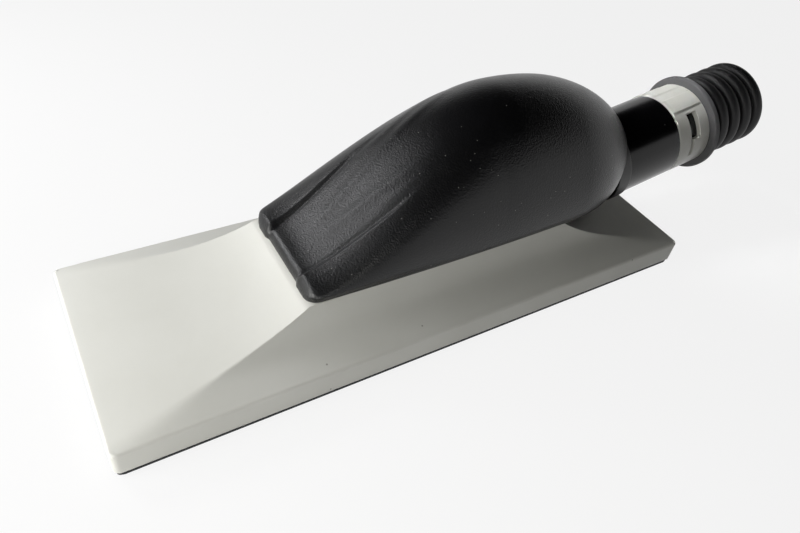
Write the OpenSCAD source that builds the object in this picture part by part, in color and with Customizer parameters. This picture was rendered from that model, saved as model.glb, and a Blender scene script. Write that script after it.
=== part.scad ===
// Hand sanding block with dust extraction: a hollow white base shell on a perforated hook pad, a
// mushroom-shaped grip over a dust chamber, and a sloping outlet with a bleed-air regulator ring
// and a swivelling ribbed hose nipple.
// +X runs towards the hose end and +Z up. The origin is the centre of the pad's underside.

/* [Base shell] */
// Length of the base shell
base_l = 198; // [190:1:240]
// Width of the base shell
base_w = 70; // [64:1:90]
// Height of the straight side walls
wall_h = 7.6; // [7:0.1:10]
// Rise of the roof from the side walls to the grip seat
roof_rise = 12.4; // [10:0.2:16]
// Length of the front slope
front_run = 58; // [50:1:70]
// Length of the rear slope
rear_run = 47; // [42:1:60]
// Breadth of each side slope
side_run = 15; // [12:0.5:18]
// Thickness of the shell
shell_t = 2.2; // [1.8:0.1:3]
// Radius of the shell's upright corners
corner_r = 2; // [1:0.5:4]

/* [Pad and sole plate] */
// Thickness of the hook face
hook_t = 0.8; // [0.6:0.1:1.5]
// Thickness of the foam layer
foam_t = 1.2; // [1:0.1:5]
// Margin that the pad leaves inside the shell's edge
pad_inset = 0.4; // [0.2:0.1:1.5]
// Thickness of the sole plate
plate_t = 2.4; // [2:0.1:4]
// Diameter of the dust holes
dust_d = 10; // [6:0.5:12]
// Dust holes in each row
dust_count = 4; // [3:1:5]
// Distance between dust holes along the block
dust_pitch_x = 50; // [40:1:52]
// Distance between the two rows of dust holes
dust_pitch_y = 36; // [30:1:38]

/* [Grip] */
// Length of the grip
grip_l = 127.5; // [100:0.5:150]
// Distance from the grip's tail to the rear end of the base
tail_gap = 12.7; // [8:0.1:20]
// Height of the grip above its seat
grip_h = 44.2; // [40:0.2:50]
// Greatest width of the grip
grip_w = 54; // [50:0.5:60]
// Width of the grip at the nose
nose_w = 38.8; // [37:0.2:42]
// Width of the grip's foot on its seat
foot_w = 37; // [35:0.5:40]
// Height of the nose above the seat
nose_h = 3.2; // [3:0.1:5]
// Thickness of the soft cover
cover_t = 2; // [1.5:0.1:2.4]
// Thickness of the hard core under the cover
core_t = 2.4; // [2:0.1:2.8]

/* [Outlet] */
// Upward tilt of the outlet in degrees
outlet_tilt = 9.1; // [6:0.1:12]
// Length of the bare tube behind the outlet's datum point
tube_l = 28; // [20:0.5:40]
// Length of the regulator ring
ring_l = 14.6; // [12:0.2:18]
// Thickness of the regulator ring
ring_t = 1.85; // [1.6:0.05:2.2]
// Thickness of the tube's nose under the ring
nose_t = 2; // [1.6:0.1:2.6]
// Angle of the bleed window around the ring
window_deg = 63; // [40:1:70]
// Width of the bleed window along the ring
window_w = 4.6; // [3:0.1:7]

/* [Hose nipple] */
// Inner diameter of the hose connector
bore_d = 18.6; // [15:0.2:23]
// Thickness of the sleeve that turns inside the tube
sleeve_t = 1.83; // [1.5:0.01:2.2]
// Outer diameter of the stop flange
flange_d = 35.4; // [33:0.2:40]
// Thickness of the stop flange
flange_t = 2.2; // [1.6:0.1:4]
// Outer diameter over the ribs
rib_d = 31.2; // [29:0.2:34]
// Outer diameter between the ribs
root_d = 27; // [26:0.2:28]
// Distance between ribs
rib_pitch = 6; // [5:0.1:8]
// Number of ribs
rib_count = 4; // [3:1:6]

/* [Clearances] */
// Radial gap between parts that turn on each other
running_gap = 0.06; // [0.03:0.01:0.08]
// Gap around parts that are set into one another
seat_gap = 0.2; // [0.15:0.05:0.4]
// Gap between a screw and its pilot hole
thread_gap = 0.02; // [0.01:0.01:0.05]
// Gap between a skin and what it is moulded or pushed over
skin_gap = 0.06; // [0.04:0.01:0.15]
// Gap between parts that lie close but don't touch
free_gap = 0.4; // [0.3:0.1:0.6]

/* [Hidden] */

$fn = 96;
far = 200;
skin = 1;

// Levels
shell_z = hook_t + foam_t;
plate_top = shell_z + plate_t;
gasket_t = 0.8;
ledge_z = plate_top + gasket_t;
wall_top = shell_z + wall_h;
seat_z = wall_top + roof_rise;
ceiling_z = seat_z - shell_t;

// Base shell
slope_steps = 16;
ledge_w = 1.6;
boss_r = 3.2;
pilot_r = 1.25;
screw_edge = 9;
screw_xs = [-base_l / 2 + 2 * screw_edge, 0, base_l / 2 - 2 * screw_edge];
screw_y = base_w / 2 - screw_edge;
screw_head_r = 2.8;
screw_head_h = 1.6;
screw_l = 5.6;
screw_slot = [2.6, 0.7, 1.2];
pilot_spare = 0.4;

// Where the grip starts and ends, and the outlet's datum point inside its tail
tail_x = base_l / 2 - tail_gap;
nose_x = grip_l - tail_x;
outlet_in = 6.3;
outlet_rise = 5.63;
outlet_x = tail_x - outlet_in;
outlet_z = seat_z + outlet_rise;

// Dust slot through the seat and the duct over it
slot_from_nose = 45.2;
slot_to_outlet = 36;
slot_x = [slot_from_nose - nose_x, outlet_x - slot_to_outlet];
slot_w = 12;
duct_t = 1.6;
duct_gasket_t = 0.8;
duct_margin = 4;
duct_front = slot_x[0] - duct_margin;
duct_w = slot_w + 2 * duct_t + 1.2;
duct_z = seat_z + duct_gasket_t;
duct_h = 19;

// Grip
crown_to_tail = 56.3;
crown_x = tail_x - crown_to_tail;
crown_power = 1.47;
wide_to_tail = 36.3;
wide_x = tail_x - wide_to_tail;
wide_power = 0.65;
tail_power = 1.75;
foot_power = 2.4;
wide_rise = 14.1;
tail_rise = 10.6;
blend_l = 60;
nose_boxy = 0.4;
dome_lift = 1.06;
screw_from_nose = 13.2;
screw_to_outlet = 31;
core_screw_xs = [screw_from_nose - nose_x, outlet_x - screw_to_outlet];
core_screw_y = 11.1;
core_boss_r = 2.7;
core_pilot_h = 5;
pan_r = 2.9;
pan_h = 2.2;
pan_slot = [2.8, 0.8, 2.2];

// Outlet: s is the distance along its axis from the datum point
tube_r = bore_d / 2 + sleeve_t + nose_t + ring_t + 2 * running_gap;
root_s = -10;
wall_s = root_s - 0.4;
step_s = -3;
plug_s = -2;
root_flange_r = tube_r - 1.5;
root_flange_t = 1.4;
saddle_t = 2;
tube_wall = 2.55;
root_wall = 2.15;
wide_bore_r = tube_r - tube_wall;
plug_r = wide_bore_r - root_wall;
plug_bore_r = plug_r - duct_t;
ring_s = tube_l + 0.1;
ring_r = tube_r - ring_t;
nose_r = ring_r - running_gap;
neck_r = nose_r - nose_t;
neck_s = tube_l - 2.6;
ring_end = ring_s + ring_l;
washer_t = 0.6;
tube_end = ring_end - 0.8;
collar_s = [-1, 4.3];
collar_t = 0.55;
window_start = -146;
window_s = ring_s + 5.4;
window_foot_w = 1.6;
window_wide_deg = 38;
ring_travel = 65;
pin_r = 1.5;
pin_angle = 80;
pin_s = ring_s + ring_l / 2;
thumb_pad_t = 0.45;
thumb_pads = 3;

// Swivelling hose connector
sleeve_r = neck_r - running_gap;
sleeve_s = tube_l - 6;
flange_s = ring_end + 0.1;
nipple_s = flange_s + flange_t;
barb_t = 1.9;
barb_r = bore_d / 2 + barb_t;
land_l = 6;
nipple_l = land_l + rib_count * rib_pitch - 2.8;
sleeve_end = nipple_s + nipple_l - 4;
lip_r = bore_d / 2 + 0.3;
end_chamfer = 0.8;
groove_h = 2.2;
groove_depth = 1;
oring_s = neck_s + 7;
snap_t = 1.2;
snap_s = neck_s - snap_t - 0.2;
snap_r = wide_bore_r - 0.3;
snap_gap_deg = 40;

// ---- Shape functions ----

// A value that goes from 0 at a to 1 at b, and stays there
function part_of(x, a, b) = min(1, max(0, (x - a) / (b - a)));
function quarter(t, power) = pow(sin(90 * t), power);
function fall(t, power) = pow(1 - pow(t, power), 1 / power);

// Share of the roof's rise reached at a share t of a slope
function end_share(t) = 0.5 * t + 0.5 * pow(t, 4);
function side_share(t) = 0.4 * t + 0.6 * pow(t, 6);

// Half width of the grip's foot, its widest line and that line's height, and the crown's height
function foot_half(x) = foot_w / 2 * fall(part_of(x, wide_x, tail_x), foot_power)
    + (nose_w - foot_w) / 2 * (1 - part_of(x, -nose_x, -nose_x / 4));
function wide_half(x) = x < wide_x
    ? nose_w / 2 + (grip_w - nose_w) / 2 * quarter(part_of(x, -nose_x, wide_x), wide_power)
    : grip_w / 2 * fall(part_of(x, wide_x, tail_x), tail_power);
function wide_z(x) = seat_z + 0.3 + wide_rise * pow(part_of(x, -nose_x, tail_x), 0.7);
function crown_z(x) = x < crown_x
    ? seat_z + nose_h + (grip_h - nose_h) * quarter(part_of(x, -nose_x, crown_x), crown_power)
    : seat_z + tail_rise + (grip_h - tail_rise) * fall(part_of(x, crown_x, tail_x), 2);
function boxy(x) = nose_boxy + (1 - nose_boxy) * part_of(x, -nose_x, blend_l - nose_x);

function side_sign(v) = v > 0 ? 1 : v < 0 ? -1 : 0;

// One cross section of the grip, drawn in by d: up one flank, over the dome, down the other flank
function grip_section(x, d, base_z, n_flank, n_dome) =
    let(foot = max(0.5, foot_half(x) - d), wide = max(foot + 0.1, wide_half(x) - d),
        wz = max(wide_z(x) - d / 2, seat_z + 0.2), top = max(crown_z(x) - d, wz + 0.5), k = boxy(x))
    concat(
        [for (i = [0 : n_flank - 1]) let(v = i / n_flank)
            [-(foot + (wide - foot) * sin(90 * v)), base_z + (wz - base_z) * v]],
        [for (i = [0 : n_dome]) let(a = 180 * i / n_dome)
            [-wide * side_sign(cos(a)) * pow(abs(cos(a)), k),
             wz + (top - wz) * pow(abs(sin(a)), dome_lift * k)]],
        [for (i = [n_flank - 1 : -1 : 0]) let(v = i / n_flank)
            [foot + (wide - foot) * sin(90 * v), base_z + (wz - base_z) * v]]);

// The grip's whole form as one closed solid, drawn in by d and standing on base_z
module grip_form(d = 0, base_z = seat_z, stations = 26, n_flank = 3, n_dome = 18) {
    last = stations - 1;
    x_at = function(i) let(t = i / last)
        -nose_x + (grip_l - 0.3) * (0.5 * t + 0.5 * (1 - pow(1 - t, 2)));
    squeeze = function(x) -nose_x + d + (x + nose_x) * (grip_l - 2 * d) / grip_l;
    m = 2 * n_flank + n_dome + 1;
    points = [for (i = [0 : last]) for (p = grip_section(x_at(i), d, base_z, n_flank, n_dome))
        [squeeze(x_at(i)), p[0], p[1]]];
    sides = [for (i = [0 : last - 1]) for (j = [0 : m - 1]) let(k = (j + 1) % m)
        for (t = [[i * m + j, i * m + k, (i + 1) * m + k], [i * m + j, (i + 1) * m + k, (i + 1) * m + j]]) t];
    caps = [[for (j = [m - 1 : -1 : 0]) j], [for (j = [0 : m - 1]) last * m + j]];
    polyhedron(points = points, faces = concat(sides, caps), convexity = 6);
}

// ---- Helpers ----

// Children drawn along the outlet's axis, with local Z as s and local X pointing down
module on_outlet() {
    translate([outlet_x, 0, outlet_z]) rotate([0, 90 - outlet_tilt, 0]) children();
}

// A hollow round of revolution between two stations
module tube_piece(s0, s1, r_out, r_in) {
    translate([0, 0, s0]) difference() {
        cylinder(r = r_out, h = s1 - s0);
        translate([0, 0, -skin]) cylinder(r = r_in, h = s1 - s0 + 2 * skin);
    }
}

// A wedge of a hollow round, from angle a over da degrees
module arc_block(s0, s1, r_in, r_out, a, da) {
    rotate([0, 0, a]) rotate_extrude(angle = da)
        translate([r_in, s0]) square([r_out - r_in, s1 - s0]);
}

// A ring of round section
module oring(s, r_mid, r_cord) {
    translate([0, 0, s]) rotate_extrude() translate([r_mid, 0]) circle(r = r_cord, $fn = 32);
}

module rounded_slab(l, w, h, r) {
    linear_extrude(h) union() {
        square([l - 2 * r, w], center = true);
        square([l, w - 2 * r], center = true);
        for (x = [-1, 1]) for (y = [-1, 1])
            translate([x * (l / 2 - r), y * (w / 2 - r)]) circle(r = r);
    }
}

module dust_holes(h) {
    for (i = [0 : dust_count - 1]) for (side = [-1, 1])
        translate([(i - (dust_count - 1) / 2) * dust_pitch_x, side * dust_pitch_y / 2, -skin])
            cylinder(d = dust_d, h = h + 2 * skin);
}

module at_sole_screws() {
    for (x = screw_xs) for (side = [-1, 1]) translate([x, side * screw_y, 0]) children();
}

module at_grip_screws() {
    for (x = core_screw_xs) for (side = [-1, 1]) translate([x, side * core_screw_y, 0]) children();
}

// The roof's outline from the side, lowered by drop, down to the level low
module roof_profile(drop, low) {
    front = [for (i = [0 : slope_steps]) let(t = i / slope_steps)
        [-base_l / 2 + t * front_run, wall_top + roof_rise * end_share(t) - drop]];
    rear = [for (i = [slope_steps : -1 : 0]) let(t = i / slope_steps)
        [base_l / 2 - t * rear_run, wall_top + roof_rise * end_share(t) - drop]];
    polygon(concat([[-base_l / 2, low]], front, rear, [[base_l / 2, low]]));
}

// The roof's outline from the end, lowered by drop, down to the level low
module roof_section(drop, low) {
    left = [for (i = [0 : slope_steps]) let(t = i / slope_steps)
        [-base_w / 2 + t * side_run, wall_top + roof_rise * side_share(t) - drop]];
    right = [for (i = [slope_steps : -1 : 0]) let(t = i / slope_steps)
        [base_w / 2 - t * side_run, wall_top + roof_rise * side_share(t) - drop]];
    polygon(concat([[-base_w / 2, low]], left, right, [[base_w / 2, low]]));
}

module roof_form(drop, low) {
    intersection() {
        rotate([90, 0, 0]) linear_extrude(base_w, center = true) roof_profile(drop, low);
        rotate([90, 0, 90]) linear_extrude(base_l, center = true) roof_section(drop, low);
    }
}

// Everything under the rear slope, with room to spare, for trimming what passes over it
module under_slope() {
    rotate([90, 0, 0]) linear_extrude(base_w, center = true) roof_profile(-free_gap, -skin);
}

// ---- Pad and sole ----

module pad_slab(h) {
    difference() {
        rounded_slab(base_l - 2 * pad_inset, base_w - 2 * pad_inset, h, corner_r);
        dust_holes(h);
    }
}

module hook_face() {
    color("#26272a") pad_slab(hook_t);
}

module pad_foam() {
    color("#17181a") translate([0, 0, hook_t]) pad_slab(foam_t);
}

module sole_plate() {
    pocket = 2 * (shell_t + seat_gap);
    color("#3a3c40") translate([0, 0, shell_z]) difference() {
        rounded_slab(base_l - pocket, base_w - pocket, plate_t, corner_r);
        dust_holes(plate_t);
        at_sole_screws() {
            translate([0, 0, -skin]) cylinder(r = pilot_r + seat_gap, h = plate_t + 2 * skin);
            cylinder(r1 = screw_head_r + seat_gap, r2 = pilot_r + seat_gap, h = screw_head_h);
        }
    }
}

module sole_gasket() {
    outer = 2 * (shell_t + seat_gap);
    inner = outer + 2 * ledge_w;
    color("#2c2d2f") translate([0, 0, plate_top]) difference() {
        rounded_slab(base_l - outer, base_w - outer, gasket_t, corner_r);
        translate([0, 0, -skin])
            rounded_slab(base_l - inner, base_w - inner, gasket_t + 2 * skin, corner_r);
    }
}

module sole_screws() {
    color("#b9bbbd") at_sole_screws() translate([0, 0, shell_z]) difference() {
        union() {
            cylinder(r1 = screw_head_r, r2 = pilot_r, h = screw_head_h);
            cylinder(r = pilot_r, h = screw_l);
        }
        for (a = [0, 90]) rotate([0, 0, a]) cube(screw_slot, center = true);
    }
}

// ---- Base shell ----

module base_shell() {
    upper_in = shell_t + ledge_w + seat_gap;
    color("#e8e9e4") difference() {
        union() {
            difference() {
                intersection() {
                    roof_form(0, shell_z);
                    rounded_slab(base_l, base_w, far, corner_r);
                }
                translate([0, 0, shell_z - skin])
                    rounded_slab(base_l - 2 * shell_t, base_w - 2 * shell_t,
                        ledge_z - shell_z + skin, corner_r);
                intersection() {
                    roof_form(shell_t, shell_z - skin);
                    rounded_slab(base_l - 2 * upper_in, base_w - 2 * upper_in, far, corner_r);
                }
            }
            intersection() {
                roof_form(shell_t / 2, plate_top);
                at_sole_screws() translate([0, 0, plate_top]) cylinder(r = boss_r, h = far);
            }
        }
        at_sole_screws() translate([0, 0, plate_top - skin])
            cylinder(r = pilot_r + thread_gap, h = screw_l - plate_t + skin + pilot_spare);
        at_grip_screws() translate([0, 0, ceiling_z - skin])
            cylinder(r = pilot_r + seat_gap, h = shell_t + 2 * skin);
        translate([slot_x[0], -slot_w / 2, ceiling_z - skin])
            cube([slot_x[1] - slot_x[0], slot_w, shell_t + 2 * skin]);
    }
}

// ---- Dust duct inside the grip ----

module duct_gasket() {
    color("#232426") translate([0, 0, seat_z]) difference() {
        translate([duct_front, -duct_w / 2, 0])
            cube([slot_x[1] - duct_front + duct_margin, duct_w, duct_gasket_t]);
        translate([slot_x[0], -slot_w / 2, -skin])
            cube([slot_x[1] - slot_x[0], slot_w, duct_gasket_t + 2 * skin]);
    }
}

module dust_duct() {
    color("#1b1c1e") difference() {
        union() {
            difference() {
                translate([duct_front, -duct_w / 2, duct_z])
                    cube([outlet_x - duct_front, duct_w, duct_h]);
                on_outlet() translate([-far / 2, -far / 2, wall_s]) cube(far);
            }
            on_outlet() tube_piece(wall_s - duct_t, plug_s, plug_r, 0.1);
        }
        intersection() {
            translate([duct_front + duct_t, -duct_w / 2 + duct_t, duct_z + duct_t])
                cube([outlet_x, duct_w - 2 * duct_t, duct_h - 2 * duct_t]);
            on_outlet() translate([-far / 2, -far / 2, wall_s - duct_t - far]) cube(far);
        }
        intersection() {
            translate([0, -far / 2, duct_z + duct_t]) cube([far, far, duct_h - 2 * duct_t]);
            on_outlet() translate([0, 0, wall_s - 3 * duct_t])
                cylinder(r = plug_bore_r, h = 4 * duct_t);
        }
        on_outlet() translate([0, 0, wall_s]) cylinder(r = plug_bore_r, h = far);
        translate([slot_x[0], -slot_w / 2, duct_z - skin])
            cube([slot_x[1] - slot_x[0], slot_w, duct_t + 2 * skin]);
        on_outlet() tube_piece(plug_s - 4, plug_s - 2, plug_r + skin, plug_r - groove_depth);
        under_slope();
    }
}

module duct_oring() {
    r_cord = (groove_depth + seat_gap) / 2 - thread_gap;
    color("#111213") on_outlet() oring(plug_s - 3, plug_r + (seat_gap - groove_depth) / 2, r_cord);
}

// ---- Grip ----

// Room for the duct's plug, the outlet tube and its collar where they pass through the grip's tail
module tube_passage() {
    on_outlet() {
        translate([0, 0, wall_s - duct_t - seat_gap]) cylinder(r = plug_r + seat_gap, h = far);
        translate([0, 0, root_s]) cylinder(r = wide_bore_r + seat_gap, h = far);
        translate([0, 0, root_s - seat_gap])
            cylinder(r = root_flange_r + seat_gap, h = root_flange_t + 2 * seat_gap);
        translate([0, 0, step_s - 1.2]) cylinder(r = tube_r + collar_t + free_gap, h = far);
    }
}

module grip_cover() {
    color("#1d1e20") difference() {
        grip_form();
        grip_form(cover_t, seat_z - skin);
        tube_passage();
    }
}

module grip_core() {
    d_out = cover_t + skin_gap;
    color("#2a2c2f") difference() {
        grip_form(d_out);
        difference() {
            grip_form(d_out + core_t, seat_z - skin);
            at_grip_screws() translate([0, 0, seat_z - 2 * skin])
                cylinder(r = core_boss_r, h = far);
            on_outlet() translate([0, 0, root_s + root_flange_t + seat_gap])
                cylinder(r = grip_h, h = saddle_t);
        }
        at_grip_screws() translate([0, 0, seat_z - skin])
            cylinder(r = pilot_r + thread_gap, h = core_pilot_h + skin);
        tube_passage();
    }
}

module grip_screws() {
    color("#b9bbbd") at_grip_screws() difference() {
        union() {
            translate([0, 0, ceiling_z - pan_h]) cylinder(r = pan_r, h = pan_h);
            translate([0, 0, ceiling_z - 0.1])
                cylinder(r = pilot_r, h = shell_t + core_pilot_h - 0.3);
        }
        for (a = [0, 90]) rotate([0, 0, a]) translate([0, 0, ceiling_z - pan_h])
            cube(pan_slot, center = true);
    }
}

// ---- Outlet ----

module outlet_tube() {
    color("#0c0c0d") difference() {
        on_outlet() difference() {
            union() {
                translate([0, 0, root_s]) cylinder(r = root_flange_r, h = root_flange_t);
                translate([0, 0, root_s]) cylinder(r = wide_bore_r, h = step_s - root_s + 0.5);
                translate([0, 0, step_s]) cylinder(r = tube_r, h = tube_l - step_s);
                translate([0, 0, step_s]) cylinder(r = nose_r, h = tube_end - step_s);
            }
            translate([0, 0, root_s - skin]) cylinder(r = plug_r + seat_gap, h = far);
            translate([0, 0, step_s + 2]) cylinder(r = wide_bore_r, h = neck_s - step_s - 2);
            translate([0, 0, neck_s - skin]) cylinder(r = neck_r, h = far);
            arc_block(window_s, window_s + window_w, neck_r - skin, nose_r + skin,
                window_start, window_deg);
            rotate([0, 0, pin_angle]) translate([nose_r - nose_t - skin, 0, pin_s])
                rotate([0, 90, 0]) cylinder(r = pin_r + thread_gap, h = nose_t + 2 * skin);
        }
        under_slope();
    }
}

module outlet_collar() {
    color("#101112") difference() {
        on_outlet() tube_piece(collar_s[0], collar_s[1], tube_r + collar_t, tube_r + skin_gap);
        under_slope();
    }
}

module stop_pin() {
    reach = ring_r + 0.6 * ring_t - neck_r - 0.1;
    color("#8d9093") on_outlet() rotate([0, 0, pin_angle])
        translate([neck_r + 0.1, 0, pin_s]) rotate([0, 90, 0]) cylinder(r = pin_r, h = reach);
}

module regulator_ring() {
    pin_half = asin((pin_r + seat_gap) / ring_r);
    pad_deg = 26;
    color("#e4e5df") on_outlet() difference() {
        union() {
            tube_piece(ring_s, ring_end, tube_r, ring_r);
            for (i = [0 : thumb_pads - 1])
                arc_block(ring_s + 0.6, ring_end - 0.6, tube_r - 0.5, tube_r + thumb_pad_t,
                    window_start - 6 - pad_deg - i * 1.5 * pad_deg, pad_deg);
        }
        arc_block(window_s, window_s + window_w, ring_r - skin, tube_r + skin,
            window_start, window_wide_deg);
        arc_block(window_s, window_s + window_foot_w, ring_r - skin, tube_r + skin,
            window_start, window_deg);
        arc_block(pin_s - pin_r - seat_gap, pin_s + pin_r + seat_gap, ring_r - skin,
            ring_r + 0.75 * ring_t, pin_angle - ring_travel - pin_half, ring_travel + 2 * pin_half);
    }
}

// ---- Swivelling hose connector ----

module slip_washer() {
    color("#d9d4c4") on_outlet()
        tube_piece(tube_end + 0.05, tube_end + 0.05 + washer_t, ring_r - 0.1, sleeve_r + 0.1);
}

module swivel_sleeve() {
    color("#1e1f21") on_outlet() difference() {
        union() {
            translate([0, 0, sleeve_s]) cylinder(r = sleeve_r, h = flange_s - sleeve_s + skin);
            translate([0, 0, flange_s]) cylinder(r = flange_d / 2, h = flange_t);
            translate([0, 0, flange_s]) cylinder(r = barb_r, h = sleeve_end - flange_s);
        }
        translate([0, 0, sleeve_s - skin]) cylinder(d = bore_d, h = far);
        tube_piece(oring_s, oring_s + groove_h, sleeve_r + skin, sleeve_r - groove_depth);
        tube_piece(snap_s - 0.1, snap_s + snap_t + 0.1, sleeve_r + skin, sleeve_r - groove_depth);
    }
}

module swivel_oring() {
    r_cord = groove_depth / 2 - thread_gap;
    color("#111213") on_outlet()
        oring(oring_s + groove_h / 2, sleeve_r - groove_depth / 2, r_cord);
}

module snap_ring() {
    color("#9a9da0") on_outlet() arc_block(snap_s, snap_s + snap_t, sleeve_r - groove_depth + skin_gap,
        snap_r, snap_gap_deg / 2, 360 - snap_gap_deg);
}

// Outline of the nipple from its axis: a smooth land, half-round ribs and a rounded lip
module nipple_outline() {
    rib_h = (rib_d - root_d) / 2;
    rib_half = 0.36 * rib_pitch;
    first = nipple_s + land_l;
    end = nipple_s + nipple_l;
    rib_steps = 8;
    ribs = [for (i = [0 : rib_count - 1]) for (k = [0 : rib_steps]) let(a = 180 * k / rib_steps)
        [root_d / 2 + rib_h * pow(sin(a), 0.8), first + i * rib_pitch - rib_half * cos(a)]];
    capped = [for (p = ribs) if (p[1] < end - end_chamfer - 0.1) p];
    polygon(concat([[barb_r + thread_gap, nipple_s], [root_d / 2, nipple_s]], capped,
        [[root_d / 2, end - end_chamfer], [root_d / 2 - end_chamfer, end], [lip_r, end],
         [lip_r, sleeve_end + 0.1], [barb_r + thread_gap, sleeve_end + 0.1]]));
}

module hose_nipple() {
    color("#151617") on_outlet() rotate_extrude() nipple_outline();
}

hook_face();
pad_foam();
sole_plate();
sole_gasket();
sole_screws();
base_shell();
duct_gasket();
dust_duct();
duct_oring();
grip_core();
grip_cover();
grip_screws();
outlet_tube();
outlet_collar();
stop_pin();
regulator_ring();
slip_washer();
swivel_sleeve();
swivel_oring();
snap_ring();
hose_nipple();
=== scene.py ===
"""Looks of a hand sanding block with dust extraction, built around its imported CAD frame.

The block has a hollow white base shell on a perforated hook pad, a fluted rubber grip, and a
sloping outlet with a bleed-air regulator ring and a swivelling ribbed hose nipple.
Lengths in the classes are millimetres in the row frame; meshes are written in metres.
"""

import logging
import math
from dataclasses import dataclass
from enum import Enum
from typing import Optional, Sequence

import bpy
import numpy as np
from mathutils import Matrix, Vector


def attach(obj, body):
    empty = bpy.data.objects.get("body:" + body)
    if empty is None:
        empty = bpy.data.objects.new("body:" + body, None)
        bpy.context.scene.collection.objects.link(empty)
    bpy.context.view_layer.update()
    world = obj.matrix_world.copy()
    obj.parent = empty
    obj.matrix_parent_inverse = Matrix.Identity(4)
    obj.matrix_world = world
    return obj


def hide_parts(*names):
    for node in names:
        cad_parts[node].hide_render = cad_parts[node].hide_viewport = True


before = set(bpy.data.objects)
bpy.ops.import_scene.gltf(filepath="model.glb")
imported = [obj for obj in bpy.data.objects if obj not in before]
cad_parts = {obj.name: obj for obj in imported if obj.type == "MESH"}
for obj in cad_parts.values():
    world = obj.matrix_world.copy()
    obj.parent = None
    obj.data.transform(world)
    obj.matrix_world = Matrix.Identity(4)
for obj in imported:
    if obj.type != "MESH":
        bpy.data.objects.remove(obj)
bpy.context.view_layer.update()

MM = 0.001
LOG = logging.getLogger("sanding_block")


class Body(Enum):
    """The bodies that pieces ride on."""

    BLOCK = "block"
    RING = "regulator"
    HOSE = "hose_end"


class Grain(Enum):
    """How the surface of a finish was made."""

    MOULDED = "moulded"
    ERODED = "eroded"
    POLISHED = "polished"
    ROLLED = "rolled"
    CELLS = "cells"
    WOVEN = "woven"


# ---- Number and mesh tools ----


def linear(hex_colour: str) -> tuple[float, float, float, float]:
    """Turns an sRGB hex colour into linear light.

    Args:
        hex_colour: six hex digits after a hash.

    Returns:
        Red, green, blue and a full alpha.
    """
    parts = [int(hex_colour[i : i + 2], 16) / 255 for i in (1, 3, 5)]
    curve = [c / 12.92 if c <= 0.04045 else ((c + 0.055) / 1.055) ** 2.4 for c in parts]
    return (curve[0], curve[1], curve[2], 1.0)


def part_of(x: np.ndarray, a: float, b: float) -> np.ndarray:
    """A value that goes from 0 where x is a to 1 where x is b, and stays there."""
    return np.clip((x - a) / (b - a), 0.0, 1.0)


def eased(x: np.ndarray, a: float, b: float) -> np.ndarray:
    """As part_of, with level ends: 3t squared less 2t cubed."""
    t = part_of(x, a, b)
    return t * t * (3 - 2 * t)


def fall(t: np.ndarray, power: float) -> np.ndarray:
    """A quarter of a superellipse: the power root of 1 less t to that power."""
    return (1 - np.clip(t, 0, 1) ** power) ** (1 / power)


def grid_quads(rows: int, cols: int, wrap: bool = False) -> np.ndarray:
    """Corner numbers of the cells of a grid whose points are numbered row by row.

    Args:
        rows: number of rows of points.
        cols: number of points in a row.
        wrap: whether the last column joins the first.

    Returns:
        One row of four point numbers per cell.
    """
    i, j = np.meshgrid(np.arange(rows - 1), np.arange(cols if wrap else cols - 1), indexing="ij")
    k = (j + 1) % cols
    return np.stack([i * cols + j, (i + 1) * cols + j, (i + 1) * cols + k, i * cols + k], -1).reshape(-1, 4)


def triangles(quads: np.ndarray, flip: Optional[np.ndarray] = None) -> np.ndarray:
    """Cuts each quad in two along its first diagonal, or its second where flip is true."""
    a, b, c, d = quads.T
    flip = np.zeros(len(quads), bool) if flip is None else flip
    one = np.stack([a, b, np.where(flip, d, c)], -1)
    two = np.stack([np.where(flip, b, a), c, d], -1)
    return np.concatenate([one, two])


def solid_between(top: np.ndarray, bottom: np.ndarray, faces: np.ndarray) -> tuple[np.ndarray, np.ndarray]:
    """Closes two skins of the same layout into one solid.

    Each directed edge of the top skin whose reverse is missing is a rim, and a wall of two
    triangles joins it to the same edge of the bottom skin.

    Args:
        top: points of the outer skin.
        bottom: the matching points of the inner skin.
        faces: triangles that both skins share.

    Returns:
        Points and triangles.
    """
    both = np.round(np.hstack([top, bottom]), 7)
    _, first, place = np.unique(both, axis=0, return_index=True, return_inverse=True)
    faces = place.reshape(-1)[faces]
    top, bottom = top[first], bottom[first]
    real = (faces[:, 0] != faces[:, 1]) & (faces[:, 1] != faces[:, 2]) & (faces[:, 2] != faces[:, 0])
    faces = faces[real]
    n = len(top)
    edges = np.concatenate([faces[:, [0, 1]], faces[:, [1, 2]], faces[:, [2, 0]]])
    rim = edges[~np.isin(edges[:, 0] * n + edges[:, 1], edges[:, 1] * n + edges[:, 0])]
    a, b = rim.T
    walls = np.concatenate([np.stack([b, a, a + n], -1), np.stack([b, a + n, b + n], -1)])
    return np.concatenate([top, bottom]), np.concatenate([faces, faces[:, ::-1] + n, walls])


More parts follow.
